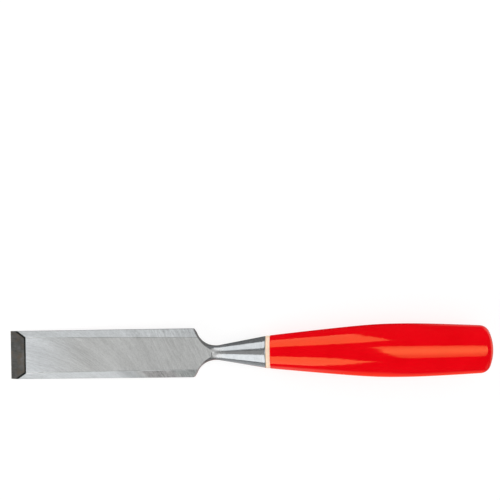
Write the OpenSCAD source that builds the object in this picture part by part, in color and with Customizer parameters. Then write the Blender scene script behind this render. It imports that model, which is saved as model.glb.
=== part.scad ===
// Bench chisel with a bevel-edged blade.
//
// Three pieces: a steel forging (blade, neck, bolster and tang in one), a washer that
// sits on the spigot in front of the tang, and a moulded handle driven onto the tang
// until it clamps the washer against the bolster.
//
// The tool lies as it does on a bench, flat back down: the cutting edge and the belly
// of the handle touch the surface, so the axis climbs a little towards the handle.
// +X runs from the cutting edge to the butt of the handle, +Z is up, and the origin is
// in the middle of the footprint, on the surface.

/* [Blade] */
// Width at the cutting edge
blade_w = 24; // [20:0.5:27]
// Extra width at the shoulders, because the blade tapers towards its edge
blade_flare = 0.1; // [0:0.1:1.2]
// Length from the cutting edge to the shoulder corners
blade_len = 92.7; // [70:0.1:120]
// Thickness where the cutting bevel ends
tip_t = 4; // [3:0.05:4.6]
// Thickness at the shoulders
heel_t = 5.5; // [5:0.1:6]
// Depth of the flat back below the axis of the handle
back_drop = 2.3; // [1.8:0.1:2.8]
// Angle of the cutting bevel
bevel_angle = 25; // [20:1:35]
// Width of each side bevel at the tip, seen from above
side_bevel_tip = 3.2; // [2:0.1:4]
// Width of each side bevel at the shoulder, seen from above
side_bevel_heel = 4.1; // [2.4:0.1:4.6]
// Slope of the side bevels
side_bevel_angle = 35; // [25:1:38]

/* [Neck and bolster] */
// Slope of the shoulders against the axis
shoulder_angle = 57; // [52:1:65]
// Radius of the hollow between shoulder and neck
shoulder_r = 10; // [7:0.1:12]
// Diameter of the neck where it is thinnest
neck_d = 7.2; // [6.8:0.02:8.4]
// Length from the thinnest part of the neck to the bolster's face
bolster_len = 24.9; // [20:0.1:34]
// Diameter of the bolster at its face
bolster_d = 15.8; // [13:0.1:17]
// Radius of the hollow between neck and bolster
bolster_r = 10; // [8:1:30]

/* [Washer] */
// Thickness of the washer
washer_t = 2.1; // [1:0.05:4]
// Outer diameter of the washer
washer_d = 16.1; // [13.6:0.1:18]

/* [Tang] */
// Diameter of the round spigot that centres the washer
spigot_d = 8.6; // [8.6:0.1:9.6]
// Length of the spigot that goes into the handle
spigot_in = 2.5; // [1:0.1:5]
// Side of the square tang at its root
tang_root = 6; // [5:0.1:6]
// Side of the square tang near its end
tang_end = 4; // [3:0.1:4.8]
// Length of the tang behind the spigot
tang_len = 62; // [40:1:75]

/* [Handle] */
// Length of the handle
handle_len = 108.8; // [100:0.1:125]
// Diameter of the handle at the washer
nose_d = 16.4; // [15:0.1:18]
// Diameter of the handle at its belly
belly_d = 26.2; // [23:0.1:30]
// Distance of the belly from the washer
belly_pos = 65; // [55:0.5:72]
// Diameter of the handle where its end starts to round over
tail_d = 23.4; // [20:0.1:24]
// Taper of the handle where its end starts to round over
tail_angle = 3; // [1:0.5:5]
// Radius of the rounded corner at the butt
butt_corner_r = 5; // [4:0.1:8]
// Radius of the domed butt
butt_dome_r = 22; // [20:0.5:40]

/* [Hidden] */
$fn = 96;

// --- places along the axis, counted from the cutting edge ---
bevel_len = tip_t / tan(bevel_angle);
shoulder_w = blade_w + blade_flare;
neck_r = neck_d / 2;
face_r = bolster_d / 2;
// Each shoulder is a straight slope that bites a little into the round hollow of the
// neck, so that a faint ridge is left where they meet.
slope_bite = 0.15;
slope_draft = 5;
slope_v = neck_r + shoulder_r - (shoulder_r - slope_bite) * cos(shoulder_angle);
slope_u = blade_len + (shoulder_w / 2 - slope_v) / tan(shoulder_angle);
neck_u = slope_u + (shoulder_r - slope_bite) * sin(shoulder_angle);
face_u = neck_u + bolster_len;
nose_u = face_u + washer_t;
spigot_u = nose_u + spigot_in;
// The ground top face stops on the neck, and the ground back runs out under it.
top_stop_u = neck_u - 1;
runout_r = 12;
runout_u = neck_u - 5.2;
runout_drop = neck_r - back_drop + 0.5;
// Rise of the top face for each millimetre towards the shoulder.
top_rise = (heel_t - tip_t) / (blade_len - bevel_len);

// --- fits ---
spigot_play = 0.1;
socket_floor = 2;

// --- edge breaks ---
bolster_edge = 0.45;
washer_edge = 0.3;
nose_edge = 0.35;

// Point on a cubic curve with end points a and d and handles b and c.
function cubic(t, a, b, c, d) =
    pow(1 - t, 3) * a + 3 * t * pow(1 - t, 2) * b + 3 * t * t * (1 - t) * c + pow(t, 3) * d;

// Points on a circle of radius r about c, from angle a to angle b, in n steps.
function arc(c, r, a, b, n) =
    [for (i = [0:n]) c + r * [cos(a + (b - a) * i / n), sin(a + (b - a) * i / n)]];

// Cone angle of the bolster, so that it leaves the neck's second hollow smoothly and
// still reaches its full diameter at the face.
hollow_gap = 0.3;
cone_bite = 0.03;
function cone_angle(a, n) =
    n == 0 ? a : cone_angle(atan2(face_r - neck_r - cone_bite,
        bolster_len - hollow_gap - (bolster_r - cone_bite) * tan(a / 2)), n - 1);
bolster_angle = cone_angle(10, 12);

// --- outline of the bar that the neck is turned from: [distance along the axis, radius] ---
clear_r = shoulder_w / 2 + 3;
bar_points = [
    [-3, 0], [-3, clear_r], [neck_u - shoulder_r / 2, clear_r], [neck_u, neck_r + shoulder_r],
    [neck_u + hollow_gap + (bolster_r - cone_bite) * sin(bolster_angle),
     neck_r + bolster_r - (bolster_r - cone_bite) * cos(bolster_angle)],
    [face_u - bolster_edge, face_r - bolster_edge * tan(bolster_angle)],
    [face_u - 0.3 * bolster_edge, face_r - 0.3 * bolster_edge],
    [face_u, face_r - bolster_edge],
    [face_u, spigot_d / 2], [spigot_u, spigot_d / 2], [spigot_u, 0]
];

// --- side view of the blade: flat back, cutting bevel, rising top, clear of the bolster ---
runout_sweep = acos(1 - runout_drop / runout_r);
side_points = concat(
    [[0, -back_drop],
     [bevel_len, tip_t - back_drop],
     [top_stop_u, tip_t - back_drop + top_rise * (top_stop_u - bevel_len)],
     [top_stop_u, 30], [spigot_u + 20, 30], [spigot_u + 20, -30],
     [runout_u + runout_r * sin(runout_sweep), -30]],
    [for (i = [10:-1:0])
        [runout_u + runout_r * sin(runout_sweep * i / 10),
         -back_drop - runout_r * (1 - cos(runout_sweep * i / 10))]]
);

// --- outline of the handle: [distance from the nose, radius] ---
nose_r = nose_d / 2;
belly_r = belly_d / 2;
tail_r = tail_d / 2;
// Butt: a rounded corner that runs into a shallow dome centred on the axis.
corner_y = tail_r - butt_corner_r * cos(tail_angle);
dome_back = butt_corner_r * sin(tail_angle) + sqrt(pow(butt_dome_r - butt_corner_r, 2) - pow(corner_y, 2));
tail_h = handle_len - (butt_dome_r - dome_back);
dome_h = tail_h - dome_back;
corner_h = tail_h - butt_corner_r * sin(tail_angle);
corner_turn = atan2(corner_y, corner_h - dome_h);
tail_run = tail_h - belly_pos;
handle_points = concat(
    [[0, 0], [0, nose_r - nose_edge],
     [0.3 * nose_edge, nose_r - 0.3 * nose_edge]],
    [for (i = [1:24])
        cubic(i / 24, [0.9 * nose_edge, nose_r],
              [0.72 * belly_pos, nose_r + 0.96 * (belly_r - nose_r)],
              [0.78 * belly_pos, belly_r], [belly_pos, belly_r])],
    [for (i = [1:14])
        cubic(i / 14, [belly_pos, belly_r],
              [belly_pos + 0.28 * tail_run, belly_r],
              [tail_h - 0.33 * tail_run, tail_r + 0.33 * tail_run * tan(tail_angle)],
              [tail_h, tail_r])],
    [for (p = arc([corner_h, corner_y], butt_corner_r, 90 - tail_angle, corner_turn, 9)) if (p[0] > tail_h + 0.01) p],
    [for (i = [1:6])
        [dome_h + butt_dome_r * cos(corner_turn * (1 - i / 6)),
         i == 6 ? 0 : butt_dome_r * sin(corner_turn * (1 - i / 6))]]
);

// --- lie of the tool on the bench ---
tilt = max([for (p = handle_points) atan2(p[1] - back_drop, nose_u + p[0])]);
reach = max([for (p = handle_points) (nose_u + p[0]) * cos(tilt) + p[1] * sin(tilt)]);
shift_x = -(back_drop * sin(tilt) + reach) / 2;
shift_z = back_drop * cos(tilt);

module lying() {
    translate([shift_x, 0, shift_z]) rotate([0, -tilt, 0]) children();
}

// Solid turned about the axis of the tool from points [along, radius].
module turned(points) {
    rotate([0, 90, 0]) rotate_extrude() polygon([for (p = points) [p[1], p[0]]]);
}

// Bar with the two round hollows of the neck turned into it.
module neck_bar() {
    rotate([0, 90, 0]) rotate_extrude() difference() {
        polygon([for (p = bar_points) [p[1], p[0]]]);
        translate([neck_r + shoulder_r, neck_u]) circle(r = shoulder_r);
        intersection() {
            translate([neck_r + bolster_r, neck_u + hollow_gap]) circle(r = bolster_r);
            translate([0, neck_u - 0.3]) square([clear_r + 10, bolster_r]);
        }
    }
}

// Everything outside the slope of the shoulder on the +Y side, which leans in towards the top.
module shoulder_cut() {
    translate([slope_u, slope_v, -back_drop]) rotate([0, 0, -shoulder_angle]) rotate([slope_draft, 0, 0])
        translate([-22, 0, -16]) cube([22, 30, 40]);
}

// Prism across the tool from points [along, height].
module across(points, w) {
    rotate([90, 0, 0]) linear_extrude(height = w, center = true) polygon(points);
}

// Square tang that tapers to a blunt point, length l behind the spigot.
module tang_bar(l) {
    outline = [[spigot_u - 0.5, -tang_root / 2], [spigot_u, -tang_root / 2],
               [spigot_u + l - 4, -tang_end / 2], [spigot_u + l, -tang_end / 4],
               [spigot_u + l, tang_end / 4], [spigot_u + l - 4, tang_end / 2],
               [spigot_u, tang_root / 2], [spigot_u - 0.5, tang_root / 2]];
    intersection() {
        across(outline, 20);
        linear_extrude(height = 20, center = true) polygon(outline);
    }
}

// Nicks across the tang that keep the handle from creeping off it.
module tang_nicks() {
    for (i = [0:3], side = [-1, 1])
        let (u = spigot_u + tang_len * (0.24 + 0.16 * i),
             h = side * (tang_root + (tang_end - tang_root) * (0.24 + 0.16 * i)) / 2)
            across([[u - 0.2, h - side * 0.5], [u + 1.6, h + side * 0.6], [u - 0.2, h + side * 0.6]], 20);
}

// Everything above the side bevel on the +Y side of the blade.
module side_bevel_cut() {
    run = blade_len - bevel_len;
    aside = blade_flare * run / blade_len / 2 - (side_bevel_heel - side_bevel_tip);
    start_v = (blade_w + blade_flare * bevel_len / blade_len) / 2 - side_bevel_tip;
    translate([bevel_len, start_v, tip_t - back_drop])
        rotate([0, -atan2(heel_t - tip_t, run), atan2(aside, run)])
            rotate([-side_bevel_angle, 0, 0])
                translate([-25, -20, 0]) cube([neck_u - bevel_len + 25, 60, 20]);
}

// Steel forging: bevel-edged blade, neck, conical bolster, spigot and tang.
module blade() {
    half_at = function (u) (blade_w + blade_flare * u / blade_len) / 2;
    color([0.76, 0.78, 0.79]) lying() union() {
        difference() {
            intersection() {
                neck_bar();
                across(side_points, 60);
                linear_extrude(height = 80, center = true)
                    polygon([[-2, -half_at(-2)], [blade_len, -half_at(blade_len)],
                             [spigot_u + 10, -half_at(blade_len)], [spigot_u + 10, half_at(blade_len)],
                             [blade_len, half_at(blade_len)], [-2, half_at(-2)]]);
            }
            shoulder_cut();
            mirror([0, 1, 0]) shoulder_cut();
            side_bevel_cut();
            mirror([0, 1, 0]) side_bevel_cut();
        }
        difference() {
            tang_bar(tang_len);
            tang_nicks();
        }
    }
}

// Washer between bolster and handle, with broken outer edges.
module bolster_washer() {
    r = washer_d / 2;
    bore = spigot_d / 2 + spigot_play;
    color([1, 0.87, 0.77]) lying()
        turned([[face_u, bore], [face_u, r - washer_edge],
                [face_u + 0.3 * washer_edge, r - 0.3 * washer_edge],
                [face_u + washer_edge, r], [nose_u - washer_edge, r],
                [nose_u - 0.3 * washer_edge, r - 0.3 * washer_edge],
                [nose_u, r - washer_edge], [nose_u, bore]]);
}

// Moulded handle with a counterbore for the spigot and a square socket for the tang.
module handle() {
    color([0.91, 0.02, 0.07]) lying() difference() {
        turned([for (p = handle_points) p + [nose_u, 0]]);
        turned([[nose_u - 1, 0], [nose_u - 1, spigot_d / 2 + spigot_play],
                [spigot_u, spigot_d / 2 + spigot_play], [spigot_u, 0]]);
        tang_bar(tang_len);
        // room in front of the tang's blunt end
        across([[spigot_u + tang_len - 1, -tang_end / 5], [spigot_u + tang_len + socket_floor, -tang_end / 5],
                [spigot_u + tang_len + socket_floor, tang_end / 5], [spigot_u + tang_len - 1, tang_end / 5]], tang_end / 2.5);
    }
}

blade();
bolster_washer();
handle();
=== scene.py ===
import math

import bmesh
import bpy
import numpy as np
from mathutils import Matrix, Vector


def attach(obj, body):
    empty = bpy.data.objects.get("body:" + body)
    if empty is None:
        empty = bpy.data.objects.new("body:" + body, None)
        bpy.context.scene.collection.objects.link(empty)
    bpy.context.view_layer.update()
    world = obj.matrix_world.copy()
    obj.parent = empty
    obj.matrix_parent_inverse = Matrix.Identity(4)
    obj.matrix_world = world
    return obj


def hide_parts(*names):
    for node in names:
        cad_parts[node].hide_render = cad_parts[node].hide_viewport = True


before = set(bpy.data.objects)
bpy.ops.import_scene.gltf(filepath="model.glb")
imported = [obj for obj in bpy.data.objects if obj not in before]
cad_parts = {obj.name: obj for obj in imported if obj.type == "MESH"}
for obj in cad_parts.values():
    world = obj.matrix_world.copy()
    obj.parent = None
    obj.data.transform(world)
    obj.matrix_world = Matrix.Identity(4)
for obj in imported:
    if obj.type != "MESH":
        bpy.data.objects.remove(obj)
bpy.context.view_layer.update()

# ---------------------------------------------------------------------------
# Dimensions of the tool, in millimetres. Tool axes: u along the axis from the
# cutting edge, v across the blade, w up from the axis of the handle.
# ---------------------------------------------------------------------------
BLADE_W, FLARE, BLADE_LEN = 24.0, 0.1, 92.7
TIP_T, HEEL_T, DROP = 4.0, 5.5, 2.3
BEVEL = math.radians(25)
SIDE_TIP, SIDE_HEEL, SIDE_ANGLE = 3.2, 4.1, math.radians(35)
SHOULDER, SHOULDER_R, BITE, DRAFT = math.radians(57), 10.0, 0.15, math.radians(5)
NECK_R, BOLSTER_LEN, FACE_R, BOLSTER_R = 3.6, 24.9, 7.9, 10.0
HOLLOW_GAP, CONE_BITE = 0.3, 0.03
WASHER_T, WASHER_R = 2.1, 8.05
SPIGOT_R, SPIGOT_IN, PLAY = 4.3, 2.5, 0.1
TANG_ROOT, TANG_END, TANG_LEN = 6.0, 4.0, 62.0
HANDLE_LEN, NOSE_R, BELLY_R, BELLY_POS = 108.8, 8.2, 13.1, 65.0
TAIL_R, TAIL_ANGLE, CORNER_R, DOME_R = 11.7, math.radians(3), 5.0, 22.0

BEVEL_LEN = TIP_T / math.tan(BEVEL)
SHOULDER_HALF = (BLADE_W + FLARE) / 2
SLOPE_V = NECK_R + SHOULDER_R - (SHOULDER_R - BITE) * math.cos(SHOULDER)
SLOPE_U = BLADE_LEN + (SHOULDER_HALF - SLOPE_V) / math.tan(SHOULDER)
NECK_U = SLOPE_U + (SHOULDER_R - BITE) * math.sin(SHOULDER)
FACE_U = NECK_U + BOLSTER_LEN
NOSE_U = FACE_U + WASHER_T
SPIGOT_U = NOSE_U + SPIGOT_IN
TOP_STOP = NECK_U - 1.5
RUN_R, RUN_U = 12.0, NECK_U - 5.2
RUN_END = RUN_U + RUN_R * math.sin(math.acos(1 - (NECK_R - DROP + 0.5) / RUN_R))
TOP_RISE = (HEEL_T - TIP_T) / (BLADE_LEN - BEVEL_LEN)
CONE = math.radians(10)
for _ in range(12):
    CONE = math.atan2(FACE_R - NECK_R - CONE_BITE, BOLSTER_LEN - HOLLOW_GAP - (BOLSTER_R - CONE_BITE) * math.tan(CONE / 2))


def cubic(t, a, b, c, d):
    t = np.asarray(t, float)[:, None]
    a, b, c, d = (np.asarray(p, float)[None] for p in (a, b, c, d))
    return (1 - t) ** 3 * a + 3 * t * (1 - t) ** 2 * b + 3 * t * t * (1 - t) * c + t**3 * d


CORNER_Y = TAIL_R - CORNER_R * math.cos(TAIL_ANGLE)
DOME_BACK = CORNER_R * math.sin(TAIL_ANGLE) + math.sqrt((DOME_R - CORNER_R) ** 2 - CORNER_Y**2)
TAIL_H = HANDLE_LEN - (DOME_R - DOME_BACK)
DOME_H = TAIL_H - DOME_BACK
CORNER_H = TAIL_H - CORNER_R * math.sin(TAIL_ANGLE)
CORNER_TURN = math.atan2(CORNER_Y, CORNER_H - DOME_H)


def handle_outline(nf, nr, nc, nd, edge=0.35):
    """[distance from the nose, radius] of the handle, from its nose to the middle of its butt."""
    run = TAIL_H - BELLY_POS
    front = cubic(np.arange(0, nf + 1) / nf, (0.9 * edge, NOSE_R),
                  (0.72 * BELLY_POS, NOSE_R + 0.96 * (BELLY_R - NOSE_R)),
                  (0.78 * BELLY_POS, BELLY_R), (BELLY_POS, BELLY_R))
    rear = cubic(np.arange(1, nr + 1) / nr, (BELLY_POS, BELLY_R), (BELLY_POS + 0.28 * run, BELLY_R),
                 (TAIL_H - 0.33 * run, TAIL_R + 0.33 * run * math.tan(TAIL_ANGLE)), (TAIL_H, TAIL_R))
    a = np.linspace(math.pi / 2 - TAIL_ANGLE, CORNER_TURN, nc + 1)[1:]
    corner = np.stack([CORNER_H + CORNER_R * np.cos(a), CORNER_Y + CORNER_R * np.sin(a)], 1)
    a = CORNER_TURN * (1 - np.arange(1, nd + 1) / nd)
    dome = np.stack([DOME_H + DOME_R * np.cos(a), DOME_R * np.sin(a)], 1)
    return np.concatenate([front, rear, corner, dome])


_p = handle_outline(24, 14, 9, 6)
TILT = max(math.atan2(r - DROP, NOSE_U + h) for h, r in _p)
REACH = max((NOSE_U + h) * math.cos(TILT) + r * math.sin(TILT) for h, r in _p)
SHIFT_X = -(DROP * math.sin(TILT) + REACH) / 2
SHIFT_Z = DROP * math.cos(TILT)


def to_row(p):
    """Tool millimetres to the row frame, in metres."""
    p = np.asarray(p, float)
    c, s = math.cos(TILT), math.sin(TILT)
    return np.stack([p[:, 0] * c - p[:, 2] * s + SHIFT_X, p[:, 1], p[:, 0] * s + p[:, 2] * c + SHIFT_Z], 1) * 0.001


# ---------------------------------------------------------------------------
# Meshes
# ---------------------------------------------------------------------------
def mesh_from_rings(name, rings, material_of, caps=(True, True), loop=False):
    """A closed mesh from rings of equally many points in tool millimetres. Points that fall together are merged."""
    n, count = len(rings[0]), len(rings)
    bm = bmesh.new()
    uv = bm.loops.layers.uv.new("OFBake")
    verts = [[bm.verts.new(p) for p in to_row(r)] for r in rings]
    length = np.concatenate([[0], np.cumsum([max(1e-3, np.abs(b - a).max()) for a, b in zip(rings, rings[1:])])])
    along = length / length[-1]
    widest = rings[max(range(count), key=lambda i: np.linalg.norm(np.diff(rings[i], axis=0), axis=1).sum())]
    step = np.linalg.norm(np.diff(np.concatenate([widest, widest[:1]]), axis=0), axis=1) + 1e-3
    around = np.concatenate([[0], np.cumsum(step)]) / step.sum()
    pairs = [(i, i + 1) for i in range(count - 1)] + ([(count - 1, 0)] if loop else [])
    for i, k in pairs:
        for j in range(n):
            m = (j + 1) % n
            f = bm.faces.new((verts[i][j], verts[i][m], verts[k][m], verts[k][j]))
            f.material_index = material_of(i, j)
            f.smooth = True
            a, b = along[i], along[k] if k else 1.0
            for l, at in zip(f.loops, ((a, around[j]), (a, around[j + 1]), (b, around[j + 1]), (b, around[j]))):
                l[uv].uv = (0.01 + 0.98 * at[0], 0.01 + 0.98 * at[1])
    for i, wanted in ((0, caps[0]), (count - 1, caps[1])):
        if wanted:
            f = bm.faces.new(verts[i])
            f.material_index = material_of(min(i, count - 2), 0)
            for l in f.loops:
                l[uv].uv = (0.004 if i == 0 else 0.996, 0.5)
    bmesh.ops.remove_doubles(bm, verts=bm.verts, dist=2e-7)
    bmesh.ops.dissolve_degenerate(bm, edges=bm.edges, dist=1e-8)
    bmesh.ops.recalc_face_normals(bm, faces=bm.faces)
    me = bpy.data.meshes.new(name)
    bm.to_mesh(me)
    bm.free()
    ob = bpy.data.objects.new(name, me)
    bpy.context.scene.collection.objects.link(ob)
    # Normals weighted by face area keep the flats flat and let the edge roundings shade smoothly.
    normal = np.zeros((len(me.vertices), 3))
    for p in me.polygons:
        w = np.array(p.normal) * p.area
        for v in p.vertices:
            normal[v] += w
    size = np.linalg.norm(normal, axis=1, keepdims=True)
    me.normals_split_custom_set_from_vertices((normal / np.maximum(size, 1e-30)).tolist())
    return ob


def smin(a, b, k):
    h = np.clip(1 - np.abs(a - b) / k, 0, None)
    return np.minimum(a, b) - h * h * k * 0.25


def root(f, lo, hi):
    """Where f, which falls from lo to hi, crosses zero."""
    for _ in range(50):
        mid = (lo + hi) / 2
        if f(mid) > 0:
            lo = mid
        else:
            hi = mid
    return (lo + hi) / 2


def turned_r(u):
    """Radius of the turned neck and bolster."""
    if u < NECK_U - SHOULDER_R + 0.01:
        return 60.0
    first = NECK_R + SHOULDER_R - math.sqrt(max(0.0, SHOULDER_R**2 - (NECK_U - u) ** 2))
    if u < NECK_U - 0.3:
        return first
    second = NECK_R + BOLSTER_R - math.sqrt(max(0.0, BOLSTER_R**2 - (u - NECK_U - HOLLOW_GAP) ** 2))
    if u < NECK_U + 1:
        return float(smin(first, second, 0.02))
    if u < NECK_U + HOLLOW_GAP + BOLSTER_R * math.sin(CONE):
        return second
    return FACE_R - (FACE_U - u) * math.tan(CONE)


# The side bevel's plane, on the +v side.
_run = BLADE_LEN - BEVEL_LEN
_elev = math.atan2(HEEL_T - TIP_T, _run)
_azim = math.atan2(FLARE * _run / BLADE_LEN / 2 - (SIDE_HEEL - SIDE_TIP), _run)
SIDE_V0 = (BLADE_W + FLARE * BEVEL_LEN / BLADE_LEN) / 2 - SIDE_TIP
SIDE_W0 = TIP_T - DROP
_nx, _ny, _nz = -math.cos(SIDE_ANGLE) * math.sin(_elev), math.sin(SIDE_ANGLE), math.cos(SIDE_ANGLE) * math.cos(_elev)
SIDE_N = (_nx * math.cos(_azim) - _ny * math.sin(_azim), _nx * math.sin(_azim) + _ny * math.cos(_azim), _nz)

N_TOP, N_ROUND, N_SIDE, N_EDGE, N_BACK = 8, 4, 5, 30, 10
HALF = N_TOP + N_ROUND + N_SIDE + N_ROUND + N_EDGE + N_ROUND + N_BACK
ROUND = 0.11  # half the length of outline that a ground edge is softened over
RUNOUT = 0.36  # length of the slope where the ground flat runs out on the neck
TOP_ANGLE = None  # half angle of the ground flat where it stops on the neck


def blade_section(u, flat=True):
    """One ring of points [u, v, w] round the forging, with softened edges, and always with its edges at the same places in the list."""
    global TOP_ANGLE
    r = turned_r(u)
    half = (BLADE_W + FLARE * min(u, BLADE_LEN) / BLADE_LEN) / 2

    # the slope of the shoulder, which leans in towards the top
    lean = math.tan(DRAFT) / math.cos(SHOULDER)
    slope = SHOULDER_HALF - (u - BLADE_LEN) * math.tan(SHOULDER) - lean * DROP

    def at(t):
        rho = smin(r, half / max(math.sin(t), 1e-6), 0.25)
        if u < SLOPE_U:
            rho = smin(rho, slope / max(math.sin(t) + lean * math.cos(t), 1e-3), 0.25)
        return rho * math.sin(t), rho * math.cos(t)

    if u < RUN_U:
        low = -DROP
    elif u < RUN_END:
        low = -DROP - RUN_R + math.sqrt(RUN_R**2 - (u - RUN_U) ** 2)
    else:
        low = -99.0
    t_c = root(lambda t: at(t)[1] - low, 0.0, math.pi) if low > -r else math.pi
    if flat:
        top = float(smin(-DROP + u * math.tan(BEVEL), TIP_T - DROP + TOP_RISE * (u - BEVEL_LEN), 0.05))
        t_t = root(lambda t: at(t)[1] - top, 0.0, math.pi)
        side_v = lambda w: SIDE_V0 - (SIDE_N[2] * (w - SIDE_W0) + SIDE_N[0] * (u - BEVEL_LEN)) / SIDE_N[1]
        # outside the side bevel's plane near the top of the outline, inside it further down
        over = lambda t: SIDE_N[0] * (u - BEVEL_LEN) + SIDE_N[1] * (at(t)[0] - SIDE_V0) + SIDE_N[2] * (at(t)[1] - SIDE_W0)
        t_s = root(over, t_t, t_c) if over(t_t) > 0 else t_t
        b = np.array(at(t_s))
        a = np.array((side_v(top), top)) if t_s > t_t else b
        first = np.linspace((0.0, top), a, 30)
        TOP_ANGLE = math.atan2(a[0], a[1])
        t_b = t_s
    else:
        t_b = TOP_ANGLE
        first = np.array([at(t) for t in np.linspace(0, t_b, 30)])
        a = b = first[-1]
    c = np.array(at(t_c))
    second = np.linspace(a, b, 12)[1:]
    third = np.array([at(t) for t in np.linspace(t_b, t_c, 120)])[1:]
    fourth = np.linspace(c, (0.0, c[1]), 30)[1:]
    line = np.concatenate([first, second, third, fourth])
    s = np.concatenate([[0], np.cumsum(np.linalg.norm(np.diff(line, axis=0), axis=1))])
    s_a, s_b, s_c, end = s[29], s[40], s[159], s[-1]
    # Soften: each point becomes the mean of the outline near it, with the mirrored half beyond both ends.
    closed = np.concatenate([line, (line * (-1, 1))[::-1][1:]])
    s2 = np.concatenate([s, 2 * end - s[::-1][1:]])
    step = 0.015
    grid = np.arange(-1.0, end + 1.0, step)
    fine = np.stack([np.interp(grid % (2 * end), s2, closed[:, k]) for k in (0, 1)], 1)
    w = max(1, int(round(ROUND / step)))
    total = np.concatenate([np.zeros((1, 2)), np.cumsum(fine, 0)])
    soft = (total[2 * w + 1:] - total[:-2 * w - 1]) / (2 * w + 1)
    grid = grid[w:len(grid) - w]
    m = 0.24
    a0, a1 = max(s_a - m, 0.7 * s_a), min(s_a + m, (s_a + s_b) / 2)
    b0, b1 = max(s_b - m, (s_a + s_b) / 2), min(s_b + m, s_b + 0.4 * (s_c - s_b))
    c0, c1 = max(s_c - m, s_b + 0.6 * (s_c - s_b)), min(s_c + m, s_c + 0.3 * (end - s_c))
    stops = [(0, a0, N_TOP), (a0, a1, N_ROUND), (a1, b0, N_SIDE), (b0, b1, N_ROUND), (b1, c0, N_EDGE), (c0, c1, N_ROUND), (c1, end, N_BACK)]
    at_s = np.concatenate([np.linspace(p, q, k + 1)[:-1] for p, q, k in stops] + [[end]])
    v, z = (np.interp(at_s, grid, soft[:, k]) for k in (0, 1))
    v[0] = v[-1] = 0.0
    v, z = np.concatenate([v, -v[-2:0:-1]]), np.concatenate([z, z[-2:0:-1]])
    return np.stack([np.full(len(v), u), v, z], 1)


def blade_mesh():
    us = np.concatenate([
        [0.03, 0.12, 0.3, 0.7, 1.4, 2.2, 3.0, 3.4, 3.7, 4.0, 4.5, 5.3, 6.2, 7.1, 7.8],
        BEVEL_LEN + np.array([-0.3, -0.16, -0.08, -0.03, 0.03, 0.08, 0.16, 0.3, 0.8]),
        np.linspace(11, 90, 26), BLADE_LEN + np.array([-1.2, -0.6, -0.3]),
        BLADE_LEN + np.arange(-0.2, 1.4, 0.1), np.arange(BLADE_LEN + 1.4, TOP_STOP - RUNOUT - 0.05, 0.18), [TOP_STOP - RUNOUT],
    ])
    rings = [blade_section(u) for u in us]
    us2 = np.concatenate([[TOP_STOP + 0.02], np.arange(TOP_STOP + 0.12, NECK_U + 5, 0.25), np.arange(NECK_U + 5.2, FACE_U - 0.8, 0.8), [FACE_U - 0.6]])
    rings += [blade_section(u, False) for u in us2]
    where = list(us) + list(us2)
    # rounded rim of the bolster, its face, the spigot and the tang
    last = rings[-1]
    turn = np.arctan2(last[:, 1], last[:, 2])
    edge = 0.4
    end_r = turned_r(FACE_U - edge)
    outline = [(FACE_U - edge + edge * math.sin(t), end_r - edge + edge * math.cos(t)) for t in np.radians([0, 22.5, 45, 67.5, 90])]
    outline += [(FACE_U, SPIGOT_R + 1), (FACE_U, SPIGOT_R), (SPIGOT_U - 0.2, SPIGOT_R), (SPIGOT_U, SPIGOT_R - 0.15)]
    for u, r in outline:
        rings.append(np.stack([np.full(len(turn), u), r * np.sin(turn), r * np.cos(turn)], 1))
        where.append(u)

    def bar(u, side, high):
        rho = np.minimum(side / 2 / np.maximum(np.abs(np.sin(turn)), 1e-9), high / np.maximum(np.abs(np.cos(turn)), 1e-9))
        rings.append(np.stack([np.full(len(turn), u), rho * np.sin(turn), rho * np.cos(turn)], 1))
        where.append(u)

    def side_at(u):
        f = (u - SPIGOT_U) / (TANG_LEN - 4)
        return TANG_ROOT + (TANG_END - TANG_ROOT) * f

    bar(SPIGOT_U, TANG_ROOT, TANG_ROOT / 2)
    for i in range(4):
        f = 0.24 + 0.16 * i
        u, nominal = SPIGOT_U + TANG_LEN * f, (TANG_ROOT + (TANG_END - TANG_ROOT) * f) / 2
        bar(u - 0.201, side_at(u - 0.201), side_at(u - 0.201) / 2)
        bar(u - 0.2, side_at(u - 0.2), nominal - 0.5)
        out = u - 0.2 + 0.5 * 1.8 / 1.1
        bar(out, side_at(out), side_at(out) / 2)
    bar(SPIGOT_U + TANG_LEN - 4, TANG_END, TANG_END / 2)
    bar(SPIGOT_U + TANG_LEN, TANG_END / 2, TANG_END / 4)

    n = len(rings[0])
    kinds = ["top"] * N_TOP + ["top_edge"] * N_ROUND + ["side"] * N_SIDE + ["side_edge"] * N_ROUND + ["land"] * N_EDGE + ["back_edge"] * N_ROUND + ["back"] * N_BACK
    kinds = kinds + kinds[::-1]
    assert len(kinds) == n

    def material_of(i, j):
        u = (where[i] + where[min(i + 1, len(where) - 1)]) / 2
        kind = kinds[j]
        if u > TOP_STOP:
            return 2
        if kind == "land" or kind == "side_edge" and u > BLADE_LEN:
            return 3 if u < BLADE_LEN else 7
        if u < BEVEL_LEN and kind in ("top", "top_edge"):
            return 1
        if u > TOP_STOP - RUNOUT and kind in ("top", "top_edge"):
            return 5
        if kind in ("side", "side_edge"):
            return 4
        if kind == "top_edge":
            return 6
        return 0

    return mesh_from_rings("forged_blade", rings, material_of)


def lathe_ring(u, r, turn):
    return np.stack([np.full(len(turn), u), r * np.sin(turn), r * np.cos(turn)], 1)


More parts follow.
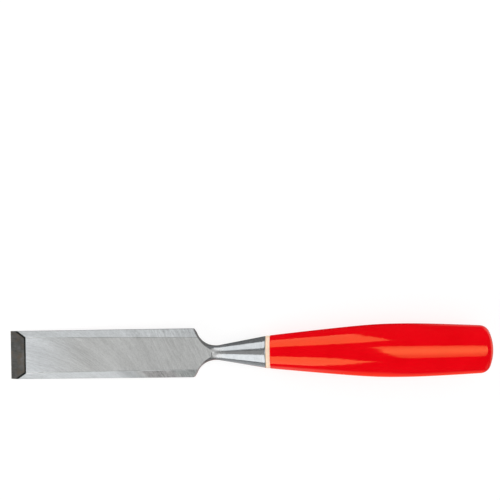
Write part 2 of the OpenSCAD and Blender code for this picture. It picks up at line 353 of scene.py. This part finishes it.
def washer_mesh():
    turn = np.arange(160) * 2 * math.pi / 160
    e, r, bore = 0.32, WASHER_R, SPIGOT_R + PLAY
    a, b = FACE_U, NOSE_U
    line = [(a, bore), (a, 6.0), (a, r - e)]
    line += [(a + e - e * math.cos(t), r - e + e * math.sin(t)) for t in np.radians([22.5, 45, 67.5, 90])]
    line += [(a + e + (b - a - 2 * e) * k, r) for k in (0.25, 0.5, 0.75)]
    line += [(b - e + e * math.sin(t), r - e + e * math.cos(t)) for t in np.radians([0, 22.5, 45, 67.5])]
    line += [(b, r - e), (b, 6.0), (b, bore)]
    return mesh_from_rings("washer", [lathe_ring(u, q, turn) for u, q in line], lambda i, j: 0, caps=(False, False), loop=True)


def handle_mesh():
    # The faint parting line of the mould runs down both sides of the handle, so more points are there.
    base = np.linspace(0, math.pi, 81)
    near = math.pi / 2 + np.array([-0.016, -0.011, -0.006, 0.0, 0.006, 0.011, 0.016])
    half = np.sort(np.concatenate([base[np.abs(base - math.pi / 2) > 0.02], near]))
    turn = np.concatenate([half, 2 * math.pi - half[-2:0:-1]])
    off = np.minimum(np.abs(turn - math.pi / 2), np.abs(turn - 1.5 * math.pi))
    seam = np.where(off < 0.008, 1.0, 0.0) * 0.035
    out = handle_outline(110, 60, 14, 12)
    rings = []
    e = 0.35
    slope = math.atan2(out[1, 1] - out[0, 1], out[1, 0] - out[0, 0])
    for h, r in out[::-1]:
        h = float(h)
        fade = min(1.0, max(0.0, (h - 1.0) / 2.0)) * min(1.0, max(0.0, (HANDLE_LEN - 3.0 - h) / 3.0))
        rings.append(np.stack([np.full(len(turn), NOSE_U + h), (r + seam * fade) * np.sin(turn), (r + seam * fade) * np.cos(turn)], 1))
    for t in np.radians([25, 50, 70, 90]):
        rings.append(lathe_ring(NOSE_U + 0.9 * e * (1 - math.sin(t)), NOSE_R - e * (1 - math.cos(t)), turn))
    bore = SPIGOT_R + PLAY
    rings += [lathe_ring(NOSE_U, 6.0, turn), lathe_ring(NOSE_U, bore, turn), lathe_ring(SPIGOT_U, bore, turn)]
    rho = 1 / np.maximum(np.abs(np.sin(turn)), np.abs(np.cos(turn)))
    for u, side in ((SPIGOT_U, TANG_ROOT), (SPIGOT_U + TANG_LEN - 4, TANG_END), (SPIGOT_U + TANG_LEN, TANG_END / 2),
                    (SPIGOT_U + TANG_LEN, TANG_END / 2.5), (SPIGOT_U + TANG_LEN + 2, TANG_END / 2.5)):
        rings.append(lathe_ring(u, side / 2 * rho, turn))
    return mesh_from_rings("grip", rings, lambda i, j: 0, caps=(False, True))


# ---------------------------------------------------------------------------
# Materials
# ---------------------------------------------------------------------------
class Nodes:
    """Small helper for writing a material's nodes."""

    def __init__(self, name):
        self.mat = bpy.data.materials.new(name)
        self.mat.use_nodes = True
        self.t = self.mat.node_tree
        self.bsdf = next(n for n in self.t.nodes if n.type == "BSDF_PRINCIPLED")
        coord = self.t.nodes.new("ShaderNodeTexCoord")
        place = self.t.nodes.new("ShaderNodeMapping")
        place.inputs["Scale"].default_value = (1000, 1000, 1000)
        place.inputs["Rotation"].default_value = (0, TILT, 0)
        c, s = math.cos(TILT), math.sin(TILT)
        place.inputs["Location"].default_value = (-(SHIFT_X * c + SHIFT_Z * s), 0, -(-SHIFT_X * s + SHIFT_Z * c))
        self.link(coord.outputs["Object"], place.inputs["Vector"])
        self.tool = place.outputs["Vector"]  # tool millimetres
        split = self.t.nodes.new("ShaderNodeSeparateXYZ")
        self.link(self.tool, split.inputs[0])
        self.u, self.v, self.w = split.outputs

    def link(self, a, b):
        self.t.links.new(a, b)

    def set(self, **values):
        for k, v in values.items():
            self.bsdf.inputs[k.replace("_", " ")].default_value = v

    def put(self, value, socket):
        if hasattr(value, "is_output"):
            self.link(value, socket)
        else:
            socket.default_value = value

    def math(self, op, a, b=None, clamp=False):
        n = self.t.nodes.new("ShaderNodeMath")
        n.operation, n.use_clamp = op, clamp
        self.put(a, n.inputs[0])
        if b is not None:
            self.put(b, n.inputs[1])
        return n.outputs[0]

    def add(self, a, b): return self.math("ADD", a, b)
    def sub(self, a, b): return self.math("SUBTRACT", a, b)
    def mul(self, a, b): return self.math("MULTIPLY", a, b)

    def vec(self, x=0.0, y=0.0, z=0.0):
        n = self.t.nodes.new("ShaderNodeCombineXYZ")
        for i, q in enumerate((x, y, z)):
            self.put(q, n.inputs[i])
        return n.outputs[0]

    def noise(self, vector, scale=1.0, detail=2.0, rough=0.5, distortion=0.0):
        n = self.t.nodes.new("ShaderNodeTexNoise")
        n.noise_dimensions = "3D"
        self.link(vector, n.inputs["Vector"])
        n.inputs["Scale"].default_value = scale
        n.inputs["Detail"].default_value = detail
        n.inputs["Roughness"].default_value = rough
        n.inputs["Distortion"].default_value = distortion
        return n.outputs["Fac"]

    def span(self, value, a, b, c=0.0, d=1.0, smooth=True):
        n = self.t.nodes.new("ShaderNodeMapRange")
        n.interpolation_type = "SMOOTHSTEP" if smooth else "LINEAR"
        n.clamp = True
        self.put(value, n.inputs[0])
        for i, q in enumerate((a, b, c, d)):
            n.inputs[i + 1].default_value = q
        return n.outputs[0]

    def ramp(self, value, *stops):
        n = self.t.nodes.new("ShaderNodeValToRGB")
        e = n.color_ramp.elements
        while len(e) < len(stops):
            e.new(0.5)
        for k, (p, c) in zip(e, stops):
            k.position, k.color = p, (*c, 1)
        self.link(value, n.inputs[0])
        return n.outputs[0]

    def mix(self, fac, a, b, kind="MIX"):
        n = self.t.nodes.new("ShaderNodeMix")
        n.data_type, n.blend_type = "RGBA", kind
        self.put(fac, n.inputs[0])
        for q, s in ((a, n.inputs[6]), (b, n.inputs[7])):
            self.put(q if hasattr(q, "is_output") else (*q, 1), s)
        return n.outputs[2]

    def lerp(self, fac, a, b):
        n = self.t.nodes.new("ShaderNodeMix")
        n.data_type = "FLOAT"
        for q, s in ((fac, n.inputs[0]), (a, n.inputs[2]), (b, n.inputs[3])):
            self.put(q, s)
        return n.outputs[0]

    def bump(self, height, strength, distance):
        n = self.t.nodes.new("ShaderNodeBump")
        n.inputs["Strength"].default_value = strength
        n.inputs["Distance"].default_value = distance
        self.link(height, n.inputs["Height"])
        self.link(n.outputs[0], self.bsdf.inputs["Normal"])
        return n

    def out(self, value, socket):
        self.link(value, self.bsdf.inputs[socket])


def grinding(k):
    """Marks left by a grinding wheel: they lie almost along the blade at its tip and swing across it towards the shoulders."""
    rate, start, most = 0.0135, 0.07, 1.10
    angle = k.math("MINIMUM", k.add(k.mul(k.math("MAXIMUM", k.u, 0.0), rate), start), most)
    sweep = k.mul(k.math("LOGARITHM", k.math("COSINE", angle), math.e), -1 / rate)
    beyond = k.mul(k.math("MAXIMUM", k.sub(k.u, (most - start) / rate), 0.0), math.tan(most))
    p = k.add(k.v, k.add(sweep, beyond))  # the same along each mark
    near = k.span(k.u, 30, 85)
    band = k.noise(k.vec(k.mul(p, 0.16), k.mul(k.u, 0.02), k.mul(k.w, 0.1)), 1.0, 1.0, 0.5)
    streak_a = k.noise(k.vec(k.mul(p, 1.15), k.mul(k.u, 0.08), k.mul(k.w, 0.2)), 1.0, 2.5, 0.6)
    streak_b = k.noise(k.vec(k.mul(p, 0.36), k.mul(k.u, 0.16), k.mul(k.w, 0.2)), 1.0, 2.5, 0.6)
    streak = k.lerp(near, streak_a, streak_b)
    fine_a = k.noise(k.vec(k.mul(p, 3.2), k.mul(k.u, 0.35), k.mul(k.w, 0.5)), 1.0, 2.0, 0.6)
    fine_b = k.noise(k.vec(k.mul(p, 0.80), k.mul(k.u, 0.70), k.mul(k.w, 0.5)), 1.0, 2.0, 0.6)
    fine = k.lerp(near, fine_a, fine_b)
    grain = k.noise(k.tool, 1.4, 2.0, 0.6)
    return band, streak, fine, grain


def tinted(k, light, tint):
    """A grey of the given lightness, tinted."""
    return k.mix(1.0, k.vec(light, light, light), tint, "MULTIPLY")


def ground_steel():
    """The flat of the blade and its back."""
    k = Nodes("ground_steel")
    band, streak, fine, grain = grinding(k)
    # Base lightness falls from the tip towards the shoulders: painted light, standing in for how the ground flat
    # catches the lamps. The grinding marks and grain laid over it are the steel's own.
    painted_light_drift = k.ramp(k.mul(k.u, 0.01), (0.07, (0.90,) * 3), (0.246, (0.75,) * 3), (0.395, (0.638,) * 3), (0.53, (0.69,) * 3),
                   (0.69, (0.61,) * 3), (0.84, (0.56,) * 3), (0.95, (0.59,) * 3))
    keen = k.span(k.u, 25, 60, 0.40, 0.17)  # the marks are crisper near the tip
    broad = k.span(k.u, 45, 75, 0.28, 0.15)
    light = k.add(k.add(painted_light_drift, k.mul(k.sub(band, 0.5), broad)), k.add(k.mul(k.sub(streak, 0.5), keen), k.mul(k.sub(fine, 0.5), k.span(k.u, 30, 75, 0.44, 0.30))))
    light = k.add(light, k.mul(k.sub(grain, 0.5), 0.22))
    tint = k.mix(k.span(k.u, 12, 40), (0.95, 0.985, 1.01), (0.985, 1.0, 0.99))
    k.out(tinted(k, light, tint), "Base Color")
    k.set(Metallic=0.64)
    k.out(k.add(k.span(streak, 0.3, 0.7, 0.50, 0.40), k.mul(k.sub(fine, 0.5), 0.10)), "Roughness")
    k.bump(k.add(k.mul(fine, 0.6), k.mul(streak, 0.4)), 0.25, 0.00006)
    return k.mat


def side_steel():
    """The side bevels, ground more finely than the flat."""
    k = Nodes("side_steel")
    band, streak, fine, grain = grinding(k)
    slant = k.add(k.u, k.v)
    # Base lightness: brighter towards the tip, with darker steps along the bevel and a different level on each side.
    # All of this is painted light for how each bevel faces the lamps. The band, streaks and grain are the steel's own.
    near = k.add(k.span(k.u, 10, 45, 0.485, 0.52), k.add(k.span(slant, 43, 49, 0.0, -0.13), k.span(slant, 57.4, 58.6, 0.0, -0.105)))
    light = k.lerp(k.span(k.v, -1.0, 1.0), near, k.span(k.u, 60, 90, 0.435, 0.40))
    light = k.add(k.add(light, k.mul(k.sub(band, 0.5), 0.10)), k.add(k.mul(k.sub(streak, 0.5), 0.15), k.mul(k.sub(fine, 0.5), k.span(slant, 54, 66, 0.26, 0.44))))
    light = k.add(light, k.mul(k.sub(grain, 0.5), 0.14))
    dull = k.mix(k.span(slant, 70, 78), (1.0, 0.985, 0.975), (0.955, 1.005, 0.985))
    tint = k.mix(k.mul(k.span(slant, 52, 60), k.span(k.v, -1.0, 1.0, 1.0, 0.0)), (0.955, 0.99, 1.008), dull)
    k.out(tinted(k, light, tint), "Base Color")
    k.set(Metallic=0.72)
    k.out(k.add(k.span(streak, 0.3, 0.7, 0.38, 0.30), k.mul(k.sub(fine, 0.5), 0.08)), "Roughness")
    k.bump(k.add(k.mul(fine, 0.6), k.mul(streak, 0.4)), 0.2, 0.00005)
    return k.mat


def edge_steel():
    """The lines where the flat and the side bevels meet, a little darker than the flat, and lighter towards the tip as
    painted light.
    """
    k = Nodes("edge_steel")
    band, streak, fine, grain = grinding(k)
    patch = k.noise(k.vec(k.mul(k.u, 0.3), k.mul(k.v, 0.05), 0.0), 1.0, 3.0, 0.6)
    # Lighter towards the tip: painted light, as on the flat.
    light = k.add(k.add(k.span(patch, 0.3, 0.7, 0.38, 0.54), k.span(k.u, 12, 34, 0.20, 0.0)), k.mul(k.sub(streak, 0.5), 0.20))
    k.out(tinted(k, light, (0.975, 0.995, 1.0)), "Base Color")
    k.set(Metallic=0.72)
    k.out(k.span(patch, 0.3, 0.7, 0.48, 0.38), "Roughness")
    k.bump(fine, 0.2, 0.00005)
    return k.mat


def bevel_steel():
    """The cutting bevel, painted dark grey as a painted reflection of a dark room, with warm patches, and darkest along
    its upper borders as painted shade.
    """
    k = Nodes("bevel_steel")
    mark = k.noise(k.vec(k.mul(k.u, 0.25), k.mul(k.v, 5.0), 0.0), 1.0, 2.0, 0.6)
    stain = k.noise(k.tool, 0.22, 3.0, 0.6)
    tone = k.add(k.mul(mark, 0.45), k.mul(stain, 0.55))
    # The dark grey is a painted reflection of a dark room. The warm patches vary at random.
    grey = k.ramp(tone, (0.35, (0.118, 0.119, 0.117)), (0.65, (0.300, 0.296, 0.284)))
    warm = k.span(k.noise(k.tool, 0.30, 2.0, 0.5), 0.42, 0.68)
    colour = k.mix(k.mul(warm, 0.65), grey, (0.24, 0.19, 0.145))
    aside = k.add(k.mul(k.sub(k.u, BEVEL_LEN), SIDE_N[0]),
                  k.add(k.mul(k.sub(k.math("ABSOLUTE", k.v), SIDE_V0), SIDE_N[1]), k.mul(k.sub(k.w, SIDE_W0), SIDE_N[2])))
    # rim: a darker line along the bevel's upper borders, painted shade.
    rim = k.math("MAXIMUM", k.span(k.u, BEVEL_LEN - 1.15, BEVEL_LEN - 0.70), k.span(aside, -0.72, -0.40))
    k.out(k.mix(k.mul(rim, 0.95), colour, (0.020, 0.024, 0.024)), "Base Color")
    k.set(Metallic=0.72)
    k.out(k.span(mark, 0.3, 0.7, 0.42, 0.30), "Roughness")
    k.bump(mark, 0.2, 0.00005)
    return k.mat


def neck_finish(k, wall):
    """Rough and pale next to the flat on the top of the neck, partly a painted highlight, and polished towards the
    bolster; dark on the walls of the shoulders and fading out along the sides of the neck, partly forge skin and partly
    painted shade."""
    ring = k.noise(k.vec(k.mul(k.u, 6.0), k.mul(k.v, 0.05), k.mul(k.w, 0.05)), 1.0, 2.0, 0.6)
    haze = k.noise(k.tool, 0.35, 3.0, 0.55)
    scale = k.noise(k.tool, 1.4, 3.0, 0.6)
    across = k.math("ABSOLUTE", k.v)
    bright = k.ramp(k.add(k.mul(ring, 0.5), k.mul(haze, 0.5)), (0.35, (0.424, 0.443, 0.458)), (0.65, (0.512, 0.537, 0.554)))
    # The pale, rough finish next to the flat, kept to the top of the neck: partly the grinding's rough finish, partly a
    # painted highlight.
    rubbed_and_sheen = k.ramp(k.add(k.mul(ring, 0.7), k.mul(haze, 0.3)), (0.35, (0.54, 0.545, 0.54)), (0.65, (0.74, 0.745, 0.74)))
    dark = k.ramp(scale, (0.35, (0.07, 0.07, 0.07)), (0.65, (0.14, 0.14, 0.138)))
    far = k.math("MAXIMUM", k.span(k.u, NECK_U - 1.5, NECK_U + 6.0), k.span(across, 1.4, 2.9))
    ragged = k.add(k.u, k.mul(k.sub(scale, 0.5), 2.0))
    # Dark on the sides of the neck near the shoulders, and on the walls of the shoulders: partly forge skin, partly
    # painted shade standing in for the dark reflections there.
    skin_and_shade = k.mul(k.span(across, 2.7, 3.5), k.span(ragged, NECK_U + 0.5, NECK_U + 6.0, 1.0, 0.0))
    if wall:
        skin_and_shade = k.math("MAXIMUM", skin_and_shade, k.span(ragged, NECK_U - 9.5, NECK_U - 3.0, 1.0, 0.0))
        paler_near_wall = k.mul(k.span(k.v, -4.6, -3.4, 1.0, 0.0), k.span(ragged, NECK_U - 7.5, NECK_U - 3.5, 1.0, 0.0))
        dark = k.mix(k.math("MAXIMUM", k.mul(paler_near_wall, 0.5), k.span(ragged, NECK_U - 5.0, NECK_U - 1.0, 0.10, 0.0)), dark, rubbed_and_sheen)  # the dark is lightened towards the pale finish, most along the near shoulder
        k.set(Specular_IOR_Level=0.2)
    k.out(k.mix(skin_and_shade, k.mix(far, rubbed_and_sheen, bright), dark), "Base Color")
    k.out(k.lerp(skin_and_shade, 0.75, 0.25), "Metallic")
    smooth = k.add(k.lerp(far, 0.42, k.span(haze, 0.3, 0.7, 0.09, 0.15)), k.mul(k.sub(ring, 0.5), 0.05))
    k.out(k.lerp(skin_and_shade, smooth, k.span(scale, 0.3, 0.7, 0.58, 0.44)), "Roughness")
    k.bump(k.add(k.mul(ring, 0.5), k.mul(k.mul(scale, skin_and_shade), 0.8)), 0.2, 0.00005)
    return k.mat


def polished_steel():
    """Neck and bolster, turned and polished."""
    return neck_finish(Nodes("polished_steel"), False)


def wall_steel():
    """The walls of the shoulders."""
    return neck_finish(Nodes("wall_steel"), True)


def forged_steel_and_shade():
    """The short slope where the flat runs out, left as it comes from the forge: pale, with a short dark line of painted
    shade across it.
    """
    k = Nodes("forged_steel_and_shade")
    scale = k.noise(k.tool, 1.4, 3.0, 0.6)
    mark = k.noise(k.vec(k.mul(k.u, 2.5), k.mul(k.v, 0.4), k.mul(k.w, 0.4)), 1.0, 2.0, 0.6)
    tone = k.add(k.mul(scale, 0.6), k.mul(mark, 0.4))
    # A short dark line across the middle of the slope, painted shade where the flat stops. The rest of the slope is
    # pale.
    painted_shade_line = k.mul(k.span(k.v, -2.5, -1.9), k.span(k.v, 0.0, 0.7, 1.0, 0.0))
    dark = k.ramp(tone, (0.35, (0.06, 0.06, 0.06)), (0.65, (0.12, 0.12, 0.12)))
    k.out(k.mix(painted_shade_line, k.ramp(tone, (0.35, (0.50, 0.505, 0.50)), (0.65, (0.66, 0.665, 0.66))), dark), "Base Color")
    k.set(Metallic=0.3)
    k.out(k.span(tone, 0.3, 0.7, 0.55, 0.40), "Roughness")
    k.bump(tone, 0.3, 0.00006)
    return k.mat


def land_steel():
    k = Nodes("land_steel")
    mark = k.noise(k.vec(k.mul(k.u, 0.05), k.mul(k.v, 3.0), k.mul(k.w, 4.0)), 1.0, 2.5, 0.6)
    cross = k.noise(k.vec(k.mul(k.u, 2.5), k.mul(k.v, 0.2), k.mul(k.w, 0.3)), 1.0, 2.0, 0.6)
    tone = k.add(k.mul(mark, 0.7), k.mul(cross, 0.3))
    # Paler towards the tip and darker towards the shoulders: painted light, as on the flat.
    pale = k.ramp(tone, (0.34, (0.78, 0.79, 0.795)), (0.66, (0.92, 0.925, 0.93)))
    dull = k.ramp(tone, (0.34, (0.42, 0.43, 0.435)), (0.66, (0.58, 0.59, 0.595)))
    k.out(k.mix(k.span(k.u, 25, 60), pale, dull), "Base Color")
    k.set(Metallic=0.2)
    k.out(k.span(tone, 0.3, 0.7, 0.42, 0.30), "Roughness")
    k.bump(mark, 0.25, 0.00005)
    return k.mat


def red_plastic():
    k = Nodes("red_plastic")
    cloud = k.noise(k.tool, 0.09, 2.0, 0.5)
    k.out(k.ramp(cloud, (0.3, (0.865, 0.0003, 0.0054)), (0.7, (0.925, 0.0005, 0.0070))), "Base Color")
    peel = k.noise(k.tool, 0.55, 1.5, 0.5)
    rub = k.noise(k.vec(k.mul(k.u, 0.25), k.mul(k.v, 1.6), k.mul(k.w, 1.6)), 1.0, 3.0, 0.6)
    k.out(k.add(k.span(rub, 0.45, 0.8, 0.07, 0.12), k.mul(k.sub(cloud, 0.5), 0.03)), "Roughness")
    k.set(IOR=1.93, Specular_Tint=(1.0, 0.5, 0.155, 1.0))
    k.bump(k.add(k.mul(peel, 0.8), k.mul(rub, 0.05)), 0.10, 0.0002)
    return k.mat


def ivory_plastic():
    k = Nodes("ivory_plastic")
    cloud = k.noise(k.tool, 0.5, 3.0, 0.55)
    k.out(k.ramp(cloud, (0.3, (0.975, 0.695, 0.508)), (0.7, (1.0, 0.785, 0.60))), "Base Color")
    ring = k.noise(k.vec(k.mul(k.u, 5.0), k.mul(k.v, 0.1), k.mul(k.w, 0.1)), 1.0, 2.0, 0.5)
    k.out(k.span(cloud, 0.3, 0.7, 0.34, 0.46), "Roughness")
    k.set(Subsurface_Weight=0.15, Subsurface_Scale=0.001)
    k.bump(ring, 0.1, 0.00008)
    return k.mat


def white_floor():
    k = Nodes("floor")
    k.set(Base_Color=(0.28, 0.28, 0.28, 1), Roughness=0.9, Emission_Color=(1, 1, 1, 1), Emission_Strength=0.765)
    return k.mat


# ---------------------------------------------------------------------------
# The tool
# ---------------------------------------------------------------------------
blade = blade_mesh()
for m in (ground_steel(), bevel_steel(), polished_steel(), land_steel(), side_steel(), forged_steel_and_shade(), edge_steel(), wall_steel()):
    blade.data.materials.append(m)
washer = washer_mesh()
washer.data.materials.append(ivory_plastic())
handle = handle_mesh()
handle.data.materials.append(red_plastic())
for piece, node, slot in ((blade, "blade", "ground_steel"), (washer, "bolster_washer", "ivory_plastic"), (handle, "handle", "red_plastic")):
    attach(piece, "root")
    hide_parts(node)

# ---------------------------------------------------------------------------
# Stage, light and camera
# ---------------------------------------------------------------------------
bm = bmesh.new()
bmesh.ops.create_grid(bm, x_segments=4, y_segments=4, size=6)
floor_mesh = bpy.data.meshes.new("floor")
bm.to_mesh(floor_mesh)
bm.free()
floor = bpy.data.objects.new("floor", floor_mesh)
floor.location.z = -0.00005
floor.data.materials.append(white_floor())
floor.visible_glossy = False  # a mirror image of the bright floor would wash out the sides
bpy.context.scene.collection.objects.link(floor)

ROOM, ROOM_SEEN, ROOM_GLOSS, ROOM_LOW, WARM = 0.49, 0.93, 0.012, 0.5, (2.0, 0.45, 0.22)
BOX_FAR, BOX_NEAR, BOX_OVER, BOX_DIM = 1.52, 1.75, 1.75, 0.30
FAR = [(-0.75, 0.0), (-0.008, 0.004), (-0.005, 0.07), (-0.003, 0.19), (0.013, 0.27), (0.032, 0.383), (0.043, 0.464), (0.07, 0.552),
       (0.036, 0.572), (0.012, 0.588), (-0.03, 0.638), (-0.1, 0.69), (-0.2, 0.755), (-0.49, 0.845), (-0.585, 0.98), (-0.7, 1.18), (-0.75, 1.22)]
NEAR = [(-1.3, 0.0), (-0.4, 0.03), (-0.2, 0.09), (-0.098, 0.058), (-0.08, 0.076), (-0.061, 0.098), (-0.058, 0.236), (-0.048, 0.385),
        (-0.046, 0.53), (0.008, 0.59), (-0.056, 0.63), (-0.103, 0.721), (-0.146, 0.814), (-0.193, 0.93), (-0.264, 1.06), (-0.364, 1.17), (-0.75, 1.75), (-1.3, 2.1)]
OVER = [(-0.02, 0.385), (-0.085, 0.33), (-0.022, 0.17), (-0.015, -0.02), (0.03, -0.21), (0.075, -0.45), (0.098, -0.565), (0.3, -0.55), (1.95, -0.52), (1.95, 0.37)]
DIM = [(-0.42, -0.31), (-0.42, 0.31), (-1.5, 0.31), (-1.5, -0.31)]

scene = bpy.context.scene
scene.view_settings.view_transform = "Standard"
scene.view_settings.look = "None"
world = bpy.data.worlds.new("studio")
scene.world = world
world.use_nodes = True
# A pale room that fills the shadows but hardly shows in the gloss.
sky = world.node_tree.nodes["Background"]
sky.inputs[0].default_value = (1, 1, 1, 1)
t = world.node_tree
path = t.nodes.new("ShaderNodeLightPath")
where = t.nodes.new("ShaderNodeSeparateXYZ")
t.links.new(t.nodes.new("ShaderNodeTexCoord").outputs["Generated"], where.inputs[0])


def level(value, a, b, c, d):
    n = t.nodes.new("ShaderNodeMapRange")
    n.interpolation_type = "SMOOTHSTEP"
    t.links.new(value, n.inputs["Value"])
    for name, q in (("From Min", a), ("From Max", b), ("To Min", c), ("To Max", d)):
        n.inputs[name].default_value = q
    return n.outputs[0]


def combine(op, a, b):
    n = t.nodes.new("ShaderNodeMath")
    n.operation = op
    t.links.new(a, n.inputs[0])
    if hasattr(b, "is_output"):
        t.links.new(b, n.inputs[1])
    else:
        n.inputs[1].default_value = b
    return n.outputs[0]


x, y, z = where.outputs
near_side = level(y, -0.35, 0.15, 1.0, 0.0)
tail = combine("MULTIPLY", level(x, 0.13, 0.19, 0.0, 0.55), level(z, -0.88, -0.66, 1.0, 0.0))
end = combine("MULTIPLY", level(x, 0.25, 0.60, 0.0, 1.0), level(y, -0.55, -0.25, 0.0, 1.0))
sides = combine("MAXIMUM", combine("MULTIPLY", near_side, level(x, 0.26, 0.42, 1.0, 0.0)), tail)
lift = combine("MULTIPLY", level(x, -0.22, -0.17, 0.0, 0.19), level(x, 0.03, 0.12, 1.0, 0.0))
under = combine("MULTIPLY", level(combine("SUBTRACT", z, lift), -0.70, -0.37, 1.0, 0.0), combine("MAXIMUM", sides, end))
aside = combine("MULTIPLY", combine("MULTIPLY", level(z, -0.20, 0.05, 0.7, 0.0), level(x, -0.23, -0.18, 1.0, 0.0)), near_side)
behind = combine("MULTIPLY", level(x, -0.62, -0.45, 1.6, 0.0), level(z, -0.05, 0.30, 1.0, 0.0))
ahead = combine("MULTIPLY", combine("MULTIPLY", level(x, 0.35, 0.65, 0.0, 0.35), level(y, -0.66, -0.50, 1.0, 0.0)), level(z, -0.25, 0.05, 1.0, 0.0))
shine = combine("MAXIMUM", combine("MAXIMUM", under, aside), combine("MAXIMUM", behind, ahead))
gloss = combine("ADD", combine("MULTIPLY", shine, ROOM_LOW), ROOM_GLOSS)


def choose(fac, a, b, kind="FLOAT"):
    n = t.nodes.new("ShaderNodeMix")
    n.data_type = kind
    i = 2 if kind == "FLOAT" else 6
    t.links.new(fac, n.inputs[0])
    for value, socket in ((a, n.inputs[i]), (b, n.inputs[i + 1])):
        if hasattr(value, "is_output"):
            t.links.new(value, socket)
        else:
            socket.default_value = value
    return n.outputs[0 if kind == "FLOAT" else 2]


fill = combine("ADD", combine("ADD", level(z, 0.10, 0.40, 0.55, 0.0), level(y, 0.0, 0.7, 0.0, 0.12)), ROOM)  # paler low down and on the far side
room = choose(path.outputs["Is Glossy Ray"], fill, gloss)
t.links.new(choose(path.outputs["Is Camera Ray"], room, ROOM_SEEN), sky.inputs[1])
warm_side = combine("MULTIPLY", combine("MULTIPLY", level(x, -0.055, -0.02, 0.0, 1.0), level(x, 0.30, 0.44, 1.0, 0.65)), level(y, 0.02, 0.26, 1.0, 0.0))
warmth = combine("MULTIPLY", combine("MULTIPLY", warm_side, under), path.outputs["Is Glossy Ray"])
t.links.new(choose(warmth, (1, 1, 1, 1), (*WARM, 1), "RGBA"), sky.inputs[0])


def soft_box(name, corners, radiance, colour=(1, 1, 1), spread=0.0):
    """A flat glowing panel with the given corners, in metres. With a spread it is brightest along its middle."""
    mat = bpy.data.materials.new(name)
    mat.use_nodes = True
    t = mat.node_tree
    t.nodes.clear()
    glow, out = t.nodes.new("ShaderNodeEmission"), t.nodes.new("ShaderNodeOutputMaterial")
    glow.inputs["Color"].default_value = (*colour, 1)
    glow.inputs["Strength"].default_value = radiance
    t.links.new(glow.outputs[0], out.inputs["Surface"])
    if spread:
        place, away, fade = (t.nodes.new("ShaderNode" + n) for n in ("SeparateXYZ", "Math", "MapRange"))
        t.links.new(t.nodes.new("ShaderNodeTexCoord").outputs["Object"], place.inputs[0])
        away.operation = "ABSOLUTE"
        t.links.new(place.outputs["Y"], away.inputs[0])
        fade.interpolation_type = "SMOOTHSTEP"
        t.links.new(away.outputs[0], fade.inputs["Value"])
        for i, q in ((1, 0.0), (2, spread), (3, 1.25 * radiance), (4, 0.5 * radiance)):
            fade.inputs[i].default_value = q
        t.links.new(fade.outputs[0], glow.inputs["Strength"])
    me = bpy.data.meshes.new(name)
    me.from_pydata(corners, [], [list(range(len(corners)))])
    ob = bpy.data.objects.new(name, me)
    ob.data.materials.append(mat)
    ob.visible_camera = False
    ob.visible_shadow = False
    bpy.context.scene.collection.objects.link(ob)
    return ob


# Two tall boxes along both sides, left of the handle's belly, a large one overhead on the
# right, and a dim one overhead on the left.
soft_box("side_far", [(x, 0.60, z) for x, z in FAR], BOX_FAR)
soft_box("side_near", [(x, -0.60, z) for x, z in NEAR], BOX_NEAR)
soft_box("overhead", [(x, y, 1.0) for x, y in OVER], BOX_OVER, spread=0.5)
soft_box("overhead_dim", [(x, y, 1.0) for x, y in DIM], BOX_DIM, (1.0, 0.955, 0.90))

camera_data = bpy.data.cameras.new("camera")
camera_data.sensor_width = 36.0
camera_data.lens = 36.0 * 1195 / 500
camera = bpy.data.objects.new("camera", camera_data)
camera.location = (0.0016, 0.05048, 0.600)
camera.rotation_euler = (0, 0, math.radians(-1.045))
camera_data.clip_start, camera_data.clip_end = 0.01, 50
bpy.context.scene.collection.objects.link(camera)
scene.camera = camera
